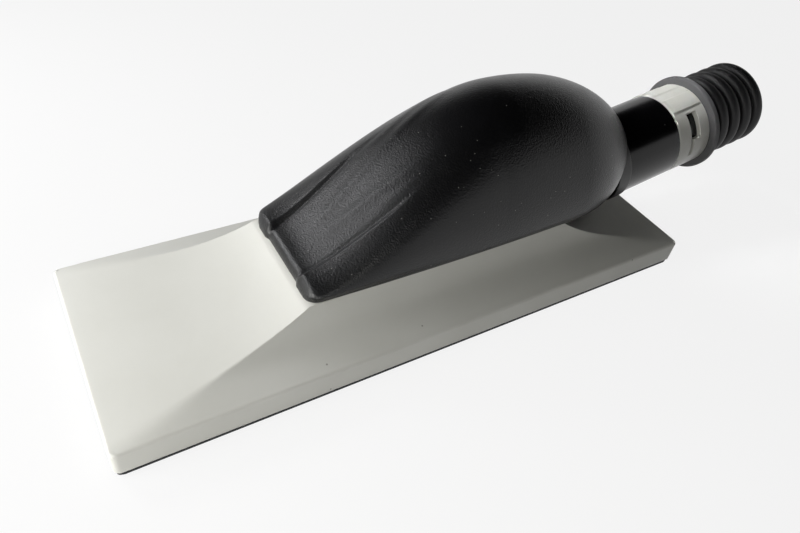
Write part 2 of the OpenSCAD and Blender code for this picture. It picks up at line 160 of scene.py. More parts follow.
def make_mesh(name: str, points: np.ndarray, faces: np.ndarray, sharp: float = 38.0) -> bpy.types.Object:
    """Makes an object from triangles, turned so that its volume is positive.

    The signed volume is the sum over the faces of corner 1 dot (corner 2 cross corner 3), over 6.

    Args:
        name: the piece's name.
        points: corners in millimetres.
        faces: three corner numbers each.
        sharp: angle in degrees past which an edge is drawn sharp.

    Returns:
        The new object, with its place in its mesh.
    """
    used, flat = np.unique(faces, return_inverse=True)
    points, faces = points[used], flat.reshape(faces.shape)
    p, q, r = points[faces[:, 0]], points[faces[:, 1]], points[faces[:, 2]]
    if np.einsum("ij,ij->", p, np.cross(q, r)) < 0:
        faces = faces[:, ::-1]
    mesh = bpy.data.meshes.new(name)
    mesh.vertices.add(len(points))
    mesh.vertices.foreach_set("co", (points * MM).astype(np.float32).ravel())
    mesh.loops.add(faces.size)
    mesh.loops.foreach_set("vertex_index", faces.astype(np.int32).ravel())
    mesh.polygons.add(len(faces))
    mesh.polygons.foreach_set("loop_start", np.arange(0, faces.size, 3, dtype=np.int32))
    mesh.update(calc_edges=True)
    mesh.validate()
    mesh.shade_smooth()
    mesh.set_sharp_from_angle(angle=math.radians(sharp))
    piece = bpy.data.objects.new(name, mesh)
    bpy.context.scene.collection.objects.link(piece)
    return piece


def rounded_outline(
    corners: Sequence[tuple[float, float, float]], steps: int = 6, reach: float = 2.5
) -> np.ndarray:
    """Rounds the corners of a closed outline and adds points along its long sides.

    Each corner's arc is a quadratic curve between the two points that lie its radius before and
    after the corner.

    Args:
        corners: (along, radius, rounding) for each corner in order.
        steps: points on each rounding.
        reach: longest distance left between two points of a side.

    Returns:
        The outline's points, (along, radius) each.
    """
    spots = np.array([c[:2] for c in corners], float)
    t = np.linspace(0, 1, steps)[:, None]
    out: list[np.ndarray] = []
    for i, (_, _, size) in enumerate(corners):
        before, here, after = spots[i - 1], spots[i], spots[(i + 1) % len(spots)]
        u, v = before - here, after - here
        size = min(size, 0.49 * np.linalg.norm(u), 0.49 * np.linalg.norm(v))
        if size > 1e-6:
            a, b = here + u / np.linalg.norm(u) * size, here + v / np.linalg.norm(v) * size
            out.append((1 - t) ** 2 * a + 2 * t * (1 - t) * here + t**2 * b)
        else:
            out.append(here[None])
    chain = np.concatenate(out)
    ends = np.roll(chain, -1, axis=0)
    counts = np.maximum(1, np.ceil(np.linalg.norm(ends - chain, axis=1) / reach)).astype(int)
    return np.concatenate(
        [a + (b - a) * (np.arange(n) / n)[:, None] for a, b, n in zip(chain, ends, counts)]
    )


# ---- Finishes ----


@dataclass(frozen=True)
class Finish:
    """One real material and how its surface was made.

    Colours are sRGB hex. Sizes are millimetres. The mottle mixes the two colours, the grain
    raises the surface, and specks are sparse flecks of dust or soiling.
    """

    name: str
    colour: str
    second: str
    grain: Grain
    rough: tuple[float, float]
    grain_mm: float
    depth_mm: float
    mottle_mm: float = 18.0
    ior: float = 1.5
    metallic: float = 0.0
    coat: float = 0.0
    speck_mm: float = 0.0
    speck_share: float = 0.0
    speck_colour: str = "#ffffff"
    smear_mm: float = 30.0

    def material(self) -> bpy.types.Material:
        """Builds the node material.

        Returns:
            The Blender material, made once and then shared.
        """
        found = bpy.data.materials.get(self.name)
        if found:
            return found
        made = bpy.data.materials.new(self.name)
        made.use_nodes = True
        tree = made.node_tree
        tree.nodes.clear()
        place = add_node(tree, "ShaderNodeTexCoord").outputs["Object"]
        mottle = add_node(
            tree,
            "ShaderNodeTexNoise",
            {"Scale": 1 / (self.mottle_mm * MM), "Detail": 5.0, "Roughness": 0.6},
            {"Vector": place}
        )
        tint = add_node(
            tree, "ShaderNodeMapRange", {"From Min": 0.3, "From Max": 0.7}, {"Value": mottle.outputs["Fac"]}
        )
        colour = add_node(
            tree, "ShaderNodeMix", {
                "A": linear(self.colour), "B": linear(self.second)
            }, {"Factor": tint.outputs["Result"]}, data_type="RGBA"
        ).outputs["Result"]
        if self.speck_mm:
            dots = add_node(
                tree, "ShaderNodeTexVoronoi", {"Scale": 1 / (self.speck_mm * 9 * MM)}, {"Vector": place}
            )
            shade = add_node(tree, "ShaderNodeSeparateColor", {}, {"Color": dots.outputs["Color"]})
            chosen = add_node(
                tree, "ShaderNodeMath", {1: 1 - self.speck_share}, {0: shade.outputs["Red"]},
                operation="GREATER_THAN"
            )
            near = add_node(
                tree, "ShaderNodeMapRange", {"From Min": 0.11, "From Max": 0.06, "To Max": 0.8},
                {"Value": dots.outputs["Distance"]}
            )
            amount = add_node(
                tree, "ShaderNodeMath", {}, {0: chosen.outputs[0], 1: near.outputs["Result"]},
                operation="MULTIPLY"
            )
            colour = add_node(
                tree, "ShaderNodeMix", {"B": linear(self.speck_colour)}, {
                    "A": colour, "Factor": amount.outputs[0]
                }, data_type="RGBA"
            ).outputs["Result"]
        smear = add_node(
            tree,
            "ShaderNodeTexNoise",
            {"Scale": 1 / (self.smear_mm * MM), "Detail": 6.0, "Roughness": 0.65},
            {"Vector": place}
        )
        gloss = add_node(
            tree, "ShaderNodeMapRange", {
                "From Min": 0.3, "From Max": 0.7, "To Min": self.rough[0], "To Max": self.rough[1]
            }, {"Value": smear.outputs["Fac"]}
        )
        bump = add_node(
            tree, "ShaderNodeBump", {"Strength": 1.0, "Distance": self.depth_mm * MM},
            {"Height": self.relief(tree, place)}
        )
        shader = add_node(
            tree,
            "ShaderNodeBsdfPrincipled",
            {"Metallic": self.metallic, "IOR": self.ior, "Coat Weight": self.coat, "Coat Roughness": 0.12},
            {"Base Color": colour, "Roughness": gloss.outputs["Result"], "Normal": bump.outputs["Normal"]},
        )
        add_node(tree, "ShaderNodeOutputMaterial", {}, {"Surface": shader.outputs["BSDF"]})
        return made

    def relief(self, tree: bpy.types.NodeTree, place: bpy.types.NodeSocket) -> bpy.types.NodeSocket:
        """Adds the nodes of the grain.

        Args:
            tree: the material's node tree.
            place: the Object coordinates.

        Returns:
            The socket that holds the grain's height, from 0 to 1.
        """
        scale = 1 / (self.grain_mm * MM)
        if self.grain in (Grain.CELLS, Grain.ERODED):
            cells = add_node(
                tree, "ShaderNodeTexVoronoi", {"Scale": scale, "Smoothness": 0.6}, {"Vector": place},
                feature="SMOOTH_F1"
            )
            fine = add_node(
                tree, "ShaderNodeTexNoise", {"Scale": 1.7 * scale, "Detail": 3.0}, {"Vector": place}
            )
            return add_node(
                tree, "ShaderNodeMath", {}, {0: cells.outputs["Distance"], 1: fine.outputs["Fac"]},
                operation="ADD"
            ).outputs[0]
        if self.grain is Grain.ROLLED:
            drawn = add_node(
                tree, "ShaderNodeMapping", {"Scale": (scale, scale, 0.08 * scale)}, {"Vector": place}
            )
            return add_node(
                tree, "ShaderNodeTexNoise", {"Scale": 1.0, "Detail": 4.0},
                {"Vector": drawn.outputs["Vector"]}
            ).outputs["Fac"]
        if self.grain is Grain.WOVEN:
            warp = add_node(
                tree, "ShaderNodeTexWave", {"Scale": scale / 6.3, "Distortion": 0.6}, {"Vector": place},
                bands_direction="X"
            )
            weft = add_node(
                tree, "ShaderNodeTexWave", {"Scale": scale / 6.3, "Distortion": 0.6}, {"Vector": place},
                bands_direction="Y"
            )
            return add_node(
                tree, "ShaderNodeMath", {}, {0: warp.outputs["Fac"], 1: weft.outputs["Fac"]},
                operation="MAXIMUM"
            ).outputs[0]
        detail = 2.0 if self.grain is Grain.POLISHED else 5.0
        return add_node(
            tree, "ShaderNodeTexNoise", {"Scale": scale, "Detail": detail}, {"Vector": place}
        ).outputs["Fac"]


def add_node(
    tree: bpy.types.NodeTree,
    kind: str,
    values: Optional[dict] = None,
    links: Optional[dict] = None,
    **settings: object,
) -> bpy.types.Node:
    """Adds one node with its settings, input values and links.

    Args:
        tree: where it goes.
        kind: Blender's name for the node type.
        values: input name or number to value; a Mix node's names mean its colour inputs.
        links: input name or number to the output socket that feeds it.
        settings: properties of the node itself.

    Returns:
        The node.
    """
    node = tree.nodes.new(kind)
    for key, value in settings.items():
        setattr(node, key, value)

    def port(key: object) -> bpy.types.NodeSocket:
        """The enabled input with this name or number."""
        if isinstance(key, int):
            return node.inputs[key]
        return next(s for s in node.inputs if s.name == key and s.enabled)

    for key, value in (values or {}).items():
        port(key).default_value = value
    for key, source in (links or {}).items():
        tree.links.new(source, port(key))
    if kind == "ShaderNodeMix" and settings.get("data_type") == "RGBA":
        return _ColourMix(node)
    return node


class _ColourMix:
    """Shows a Mix node's enabled output as its only Result."""

    def __init__(self, node: bpy.types.Node) -> None:
        """Keeps the node and its colour output."""
        self.node = node
        self.outputs = {"Result": next(s for s in node.outputs if s.enabled)}


# Injection-moulded ABS, satin from a sparked tool: broad soft highlights, faint handling marks
WHITE_ABS = Finish(
    "white_moulded_abs", "#e9e9e3", "#e3e3dc", Grain.MOULDED, (0.40, 0.52), 0.35, 0.006, 40, 1.53,
    speck_mm=0.35, speck_share=0.03, speck_colour="#8f8c82"
)
# Overmoulded TPE with an eroded grain of about 0.5 mm; its index is set below a real 1.5, for a deeper black
GRIP_RUBBER = Finish(
    "grained_black_tpe", "#0b0b0c", "#111113", Grain.ERODED, (0.28, 0.37), 0.5, 0.06, 22, 1.42,
    speck_mm=0.2, speck_share=0.22, speck_colour="#8a8a86"
)
# Polished black ABS: crisp reflections, with an index below the real 1.53 for a deeper black
GLOSS_BLACK = Finish(
    "polished_black_abs", "#050506", "#080809", Grain.POLISHED, (0.14, 0.26), 1.2, 0.004, 15, 1.38,
    speck_mm=0.2, speck_share=0.02, speck_colour="#777777"
)
# Satin nylon collar: a duller black that shows the joint at the tube's root
COLLAR_NYLON = Finish(
    "satin_black_nylon", "#0d0d0e", "#131314", Grain.MOULDED, (0.38, 0.5), 0.4, 0.008, 12, 1.53
)
# White acetal ring, hand-worn: slightly warmer than the base
RING_ACETAL = Finish(
    "ivory_acetal", "#e4e4df", "#dadad2", Grain.MOULDED, (0.28, 0.42), 0.5, 0.006, 9, 1.48, speck_mm=0.3,
    speck_share=0.02, speck_colour="#7d7a70"
)
# Nitrile rubber nipple and flange: matt black, faint moulding bloom, index lowered likewise
NIPPLE_RUBBER = Finish(
    "nitrile_rubber", "#08080a", "#0f0f11", Grain.MOULDED, (0.46, 0.60), 0.45, 0.02, 7, 1.4
)
FLANGE_RUBBER = Finish("flange_rubber", "#0f0f11", "#161618", Grain.MOULDED, (0.5, 0.66), 0.5, 0.02, 6, 1.4)
# Polyamide hook face: fine loops catch the light on a dark web
HOOK_NYLON = Finish("hook_nylon", "#1d1e20", "#2b2c2f", Grain.WOVEN, (0.5, 0.7), 0.8, 0.04, 6, 1.53)
# Open-cell polyurethane foam: cells of about 0.3 mm, no shine
PAD_FOAM = Finish("polyurethane_foam", "#121214", "#1d1d20", Grain.CELLS, (0.85, 0.95), 0.35, 0.08, 5, 1.5)
# Glass-filled nylon sole: grey with a drawn, fibrous surface
SOLE_NYLON = Finish(
    "glass_filled_nylon", "#36383b", "#404246", Grain.MOULDED, (0.5, 0.62), 0.6, 0.02, 9, 1.53
)
GASKET_FOAM = Finish("gasket_foam", "#2a2b2d", "#353638", Grain.CELLS, (0.85, 0.95), 0.4, 0.06, 5, 1.5)
# Zinc-plated steel: bright with turned marks along the shank
ZINC_STEEL = Finish(
    "zinc_plated_steel", "#b8babd", "#9da0a4", Grain.ROLLED, (0.24, 0.4), 0.12, 0.01, 4, 1.5, 1.0
)
# Black ABS duct and nylon core: inner mouldings with a plain tool finish
DUCT_ABS = Finish("duct_abs", "#1b1c1e", "#242527", Grain.MOULDED, (0.45, 0.6), 0.5, 0.015, 10, 1.53)
CORE_NYLON = Finish("core_nylon", "#292b2e", "#33353a", Grain.MOULDED, (0.5, 0.62), 0.5, 0.015, 10, 1.53)
SEAL_RUBBER = Finish("seal_rubber", "#0f1011", "#161718", Grain.MOULDED, (0.35, 0.5), 0.3, 0.008, 3, 1.52)
# Natural acetal washer: milky, a little translucent to the eye
WASHER_ACETAL = Finish(
    "natural_acetal", "#d8d4c6", "#cbc6b6", Grain.POLISHED, (0.3, 0.42), 0.4, 0.006, 4, 1.48
)


def dress(piece: bpy.types.Object, finish: Finish) -> None:
    """Gives a piece one finish on all of its faces."""
    piece.data.materials.clear()
    piece.data.materials.append(finish.material())


def settle(piece: bpy.types.Object, finish: Finish, body: Body, slot: str, *nodes: str) -> bpy.types.Object:
    """Dresses a piece, sets what it rides on and replaces, and reports it.

    Args:
        piece: the finished object.
        finish: its material.
        body: the body that carries it.
        slot: the record's material slot; not used.
        nodes: the CAD nodes that it stands for.

    Returns:
        The piece.
    """
    dress(piece, finish)
    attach(piece, body.value)
    if nodes:
        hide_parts(*nodes)
    LOG.info("%s: %d triangles on %s", piece.name, len(piece.data.polygons), body.value)
    return piece


# ---- Base ----


@dataclass
class BaseShell:
    """The hollow white shell: a long front slope, a rear slope and two side slopes round a seat."""

    length: float = 198.0
    width: float = 70.0
    corner: float = 2.0
    bottom: float = 2.0
    wall_top: float = 9.6
    rise: float = 12.4
    front_run: float = 58.0
    rear_run: float = 47.0
    side_run: float = 15.0
    shell: float = 2.2
    edge: float = 0.8
    hip_soft: float = 0.10
    steps: int = 38

    def end_share(self, t: np.ndarray) -> np.ndarray:
        """Share of the rise at a share t of an end slope: half of t and half of t to the 4th."""
        return 0.5 * t + 0.5 * t**4

    def side_share(self, t: np.ndarray) -> np.ndarray:
        """Share of the rise at a share t of a side slope: 0.4 t and 0.6 of t to the 6th."""
        return 0.4 * t + 0.6 * t**6

    def levels(self) -> np.ndarray:
        """Shares of the rise at which grid lines cross every slope.

        The hips are where the end and side slopes have risen alike, so the same levels on all
        four slopes put a grid corner on each hip.

        Returns:
            Rising values from 0 to 1.
        """
        near = np.array([0, 0.05, 0.11, 0.2, 0.35, 0.55, 0.8, 1.1, 1.5, 2.0])
        even = np.linspace(0, 1, self.steps)
        found = np.concatenate(
            [
                self.side_share(near / self.side_run), self.end_share(near / self.front_run),
                self.end_share(even), self.side_share(even)
            ]
        )
        found = np.sort(found)
        return np.concatenate([found[:-1][np.diff(found) > 2e-4], [1.0]])

    def lines(self, run_a: float, run_b: float, share_a, share_b, half: float, flat: int) -> np.ndarray:
        """Grid line positions across one direction: a slope, the flat, and the other slope."""
        t = np.linspace(0, 1, 4001)
        a = -half + run_a * np.interp(self.levels(), share_a(t), t)
        b = half - run_b * np.interp(self.levels(), share_b(t), t)
        return np.concatenate([a, np.linspace(a[-1], b[-1], flat)[1:-1], b[::-1]])

    def roof(self, x: np.ndarray, y: np.ndarray) -> np.ndarray:
        """Height of the roof over plan points.

        The lower of the end slope and the side slope, blended over a width that fades out
        towards the seat, and rounded over at the outer edge by a quarter circle.

        Args:
            x: along the block.
            y: across it.

        Returns:
            Heights in millimetres.
        """
        dx = np.minimum((x + self.length / 2) / self.front_run, (self.length / 2 - x) / self.rear_run)
        end = self.end_share(np.clip(dx, 0, 1))
        side = self.side_share(np.clip((self.width / 2 - np.abs(y)) / self.side_run, 0, 1))
        low = np.minimum(end, side)
        soft = self.hip_soft * (1 - low) ** 3 + 1e-6
        low = low - np.maximum(soft - np.abs(end - side), 0) ** 2 / (4 * soft)
        d = np.clip(np.minimum(self.length / 2 - np.abs(x), self.width / 2 - np.abs(y)), 0, self.edge)
        drop = self.edge - np.sqrt(self.edge**2 - (self.edge - d) ** 2)
        return self.wall_top + self.rise * np.maximum(low, 0) - drop

    def plan(self, x: np.ndarray, y: np.ndarray, inset: float) -> tuple[np.ndarray, np.ndarray]:
        """Draws plan points in by an inset and turns the square corners into round ones.

        In each corner square of the corner's radius, a point's distance from the square's inner
        corner becomes the larger of its two offsets.

        Args:
            x: along the block.
            y: across it.
            inset: how far the edge is drawn in.

        Returns:
            The moved x and y.
        """
        half_l, half_w = self.length / 2 - inset, self.width / 2 - inset
        x, y = x * half_l / (self.length / 2), y * half_w / (self.width / 2)
        r = max(self.corner - inset / 2, 0.4)
        p, q = np.maximum(np.abs(x) - half_l + r, 0), np.maximum(np.abs(y) - half_w + r, 0)
        both = (p > 0) & (q > 0)
        k = np.where(both, np.maximum(p, q) / np.maximum(np.hypot(p, q), 1e-9), 1.0)
        return (
            np.where(both, np.sign(x) * (half_l - r + p * k), x),
            np.where(both, np.sign(y) * (half_w - r + q * k), y),
        )

    def build(self) -> bpy.types.Object:
        """Builds the shell as roof and walls in one grid over its inner skin."""
        xs = self.lines(self.front_run, self.rear_run, self.end_share, self.end_share, self.length / 2, 38)
        ys = self.lines(self.side_run, self.side_run, self.side_share, self.side_share, self.width / 2, 16)
        wall = np.array([0.0, 0.12, 0.35, 0.65, 0.88, 0.965, 1.0])
        n = len(wall) - 1
        depth_x = np.concatenate([wall[:0:-1], np.zeros(len(xs)), wall[1:]])
        depth_y = np.concatenate([wall[:0:-1], np.zeros(len(ys)), wall[1:]])
        xs, ys = np.pad(xs, n, mode="edge"), np.pad(ys, n, mode="edge")
        x, y = (g.ravel() for g in np.meshgrid(xs, ys, indexing="ij"))
        depth = np.maximum(*(g.ravel() for g in np.meshgrid(depth_x, depth_y, indexing="ij")))
        roof = self.roof(x, y)
        lip = 0.25 * np.maximum(depth - 0.88, 0) / 0.12
        outer_x, outer_y = self.plan(x, y, 0.0)
        outer_x, outer_y = outer_x * (1 - lip**2 * 0.004), outer_y * (1 - lip**2 * 0.01)
        inner_x, inner_y = self.plan(x, y, self.shell)
        top = np.stack([outer_x, outer_y, roof - depth * (roof - self.bottom)], -1)
        under = np.maximum(roof - self.shell, self.bottom)
        low = np.stack([inner_x, inner_y, under - depth * (under - self.bottom)], -1)
        quads = grid_quads(len(xs), len(ys))
        middle = np.array([x[quads].mean(1) - 5.5, y[quads].mean(1)])
        faces = triangles(quads, middle[0] * middle[1] < 0)
        piece = make_mesh("base_shell_moulding", *solid_between(top, low, faces), sharp=50)
        return settle(piece, WHITE_ABS, Body.BLOCK, "white_abs", "base_shell")


@dataclass
class Pad:
    """The foam layer and the hook face under the sole, both with eight dust holes."""

    length: float = 197.2
    width: float = 69.2
    corner: float = 2.0
    hole: float = 10.0
    pitch_x: float = 50.0
    pitch_y: float = 36.0
    hook_z: tuple[float, float] = (0.3, 0.8)
    foam_z: tuple[float, float] = (0.8, 2.0)
    hook_pitch: float = 2.0
    rays: int = 48

    def slab(self, z0: float, z1: float, bulge: float) -> tuple[np.ndarray, np.ndarray]:
        """A perforated slab, in eight tiles of rings between a hole and the tile's edge.

        A ring point is the hole's point and the tile's point on the same ray, mixed by share.

        Args:
            z0: lower face.
            z1: upper face.
            bulge: how far the outer edge is drawn in at the two faces.

        Returns:
            Points and triangles.
        """
        tops, faces, count = [], [], 0
        share = np.array([0, 0.02, 0.06, 0.2, 0.45, 0.7, 0.9, 0.975, 1.0])
        borders_x = np.array([-self.length / 2, -self.pitch_x, 0, self.pitch_x, self.length / 2])
        borders_y = np.array([-self.width / 2, 0, self.width / 2])
        for i in range(4):
            for j in range(2):
                cx, cy = (i - 1.5) * self.pitch_x, (j - 0.5) * self.pitch_y
                box = np.array(
                    [borders_x[i] - cx, borders_x[i + 1] - cx, borders_y[j] - cy, borders_y[j + 1] - cy]
                )
                corners = [math.atan2(b, a) for a in box[:2] for b in box[2:]]
                near = [
                    math.atan2(s * (abs(b) - e), a) for a in box[:2] for b,
                    s in ((box[2], -1), (box[3], 1)) for e in (0.7, 2.0)
                ]
                near += [
                    math.atan2(b, s * (abs(a) - e)) for b in box[2:] for a,
                    s in ((box[0], -1), (box[1], 1)) for e in (0.7, 2.0)
                ]
                angle = np.unique(
                    np.round(
                        np.concatenate(
                            [np.arange(self.rays) * 2 * math.pi / self.rays - math.pi, corners, near]
                        ),
                        9
                    )
                )
                c, s = np.cos(angle), np.sin(angle)
                with np.errstate(divide="ignore", invalid="ignore"):
                    out = np.minimum(
                        np.where(c >= 0, box[1] / c, box[0] / c), np.where(s >= 0, box[3] / s, box[2] / s)
                    )
                r = self.hole / 2 + (out - self.hole / 2) * share[:, None]
                tops.append(np.stack([cx + r * c, cy + r * s], -1).reshape(-1, 2))
                faces.append(grid_quads(len(share), len(angle), wrap=True) + count)
                count += len(tops[-1])
        plan = np.round(np.concatenate(tops), 5)
        faces = triangles(np.concatenate(faces))
        inner = BaseShell(length=self.length, width=self.width, corner=self.corner)
        x, y = inner.plan(plan[:, 0], plan[:, 1], 0.0)
        top = np.stack([x, y, np.full_like(x, z1)], -1)
        edge = np.minimum(self.length / 2 - np.abs(x), self.width / 2 - np.abs(y)) < 0.01
        top[edge, :2] *= 1 - bulge / 100
        bottom = top * [1, 1, 0] + [0, 0, z0]
        return solid_between(top, bottom, faces)

    def hooks(self) -> tuple[np.ndarray, np.ndarray]:
        """Rows of small mushroom hooks: a tapered stem under a wider cap, on a staggered grid."""
        turn = np.arange(6) * math.pi / 3
        heights = np.array([self.hook_z[0] + 0.1, 0.14, 0.1, 0.02])
        radii = np.array([0.22, 0.15, 0.32, 0.2])
        one = np.stack(
            [np.outer(radii, np.cos(turn)), np.outer(radii, np.sin(turn)), np.outer(heights, np.ones(6))],
            -1
        ).reshape(-1, 3)
        skin = triangles(grid_quads(4, 6, wrap=True))
        fan = np.array([[0, i, i + 1] for i in range(1, 5)])
        shape = np.concatenate([skin, fan[:, ::-1], fan + 18])
        nx, ny = int((self.length - 1.6) / self.hook_pitch), int(
            (self.width - 1.6) / (0.87 * self.hook_pitch)
        )
        i, j = (g.ravel() for g in np.meshgrid(np.arange(nx), np.arange(ny), indexing="ij"))
        x = (i - (nx - 1) / 2 + 0.25 * (-1.0) ** j) * self.hook_pitch
        y = (j - (ny - 1) / 2) * 0.87 * self.hook_pitch
        hx, hy = (np.abs(x) + self.pitch_x / 2) % self.pitch_x, np.abs(y)
        off_hole = np.hypot(np.minimum(hx, self.pitch_x - hx), hy - self.pitch_y / 2) > self.hole / 2 + 0.5
        keep = off_hole & (np.abs(x) < self.length / 2 - 0.9) & (np.abs(y) < self.width / 2 - 0.9)
        spots = np.stack([x[keep], y[keep], np.zeros(keep.sum())], -1)
        points = (spots[:, None, :] + one[None]).reshape(-1, 3)
        faces = (shape[None] + (np.arange(len(spots)) * len(one))[:, None, None]).reshape(-1, 3)
        return points, faces

    def build(self) -> list[bpy.types.Object]:
        """Builds the foam layer and the hook face."""
        foam = make_mesh("pad_foam_layer", *self.slab(*self.foam_z, 0.02))
        settle(foam, PAD_FOAM, Body.BLOCK, "foam", "pad_foam")
        web, web_faces = self.slab(*self.hook_z, 0.05)
        hooks, hook_faces = self.hooks()
        face = make_mesh(
            "hook_face_web",
            np.concatenate([web, hooks]),
            np.concatenate([self.outward(web, web_faces), self.outward(hooks, hook_faces) + len(web)])
        )
        return [foam, settle(face, HOOK_NYLON, Body.BLOCK, "hook_face", "hook_face")]

    @staticmethod
    def outward(points: np.ndarray, faces: np.ndarray) -> np.ndarray:
        """Turns all faces round if their signed volume is negative."""
        p, q, r = (points[faces[:, k]] for k in range(3))
        return faces[:, ::-1] if np.einsum("ij,ij->", p, np.cross(q, r)) < 0 else faces


# ---- Outlet frame ----


@dataclass(frozen=True)
class Axis:
    """The sloping outlet axis: its datum point and its upward tilt in degrees."""

    x: float = 80.0
    z: float = 27.63
    tilt: float = 9.1

    def at(self, s: np.ndarray, r: np.ndarray, angle: np.ndarray) -> np.ndarray:
        """Points at stations along the axis.

        A point is the datum, plus s along the axis, plus r times the cosine of the angle down
        and r times its sine across.

        Args:
            s: distances along the axis.
            r: distances from it.
            angle: degrees, from straight down towards the far side.

        Returns:
            Points with the shape of the arguments and a last side of three.
        """
        el, a = math.radians(self.tilt), np.radians(angle)
        down, across = r * np.cos(a), r * np.sin(a)
        x = self.x + s * math.cos(el) + down * math.sin(el)
        z = self.z + s * math.sin(el) - down * math.cos(el)
        return np.stack(np.broadcast_arrays(x, across, z), -1)

    def polar(self, points: np.ndarray) -> tuple[np.ndarray, np.ndarray]:
        """Station and distance from the axis of points."""
        el = math.radians(self.tilt)
        dx, dz = points[..., 0] - self.x, points[..., 2] - self.z
        s = dx * math.cos(el) + dz * math.sin(el)
        down = dx * math.sin(el) - dz * math.cos(el)
        return s, np.hypot(down, points[..., 1])

    def turned(self, outline: np.ndarray, count: int = 144, lead: float = 0.0) -> np.ndarray:
        """Carries an outline round the axis; each angle moves it on by lead per turn."""
        angle = np.arange(count) * 360.0 / count
        s = outline[:, :1] + lead * angle[None] / 360
        return self.at(s, outline[:, 1:], angle[None])


def turned_mesh(name: str, grid: np.ndarray, sharp: float = 38.0) -> bpy.types.Object:
    """Makes a closed ring of a turned outline; both directions of the grid wrap."""
    rows, cols = grid.shape[:2]
    quads = grid_quads(rows + 1, cols, wrap=True) % (rows * cols)
    return make_mesh(name, grid.reshape(-1, 3), triangles(quads), sharp)


# ---- Grip ----


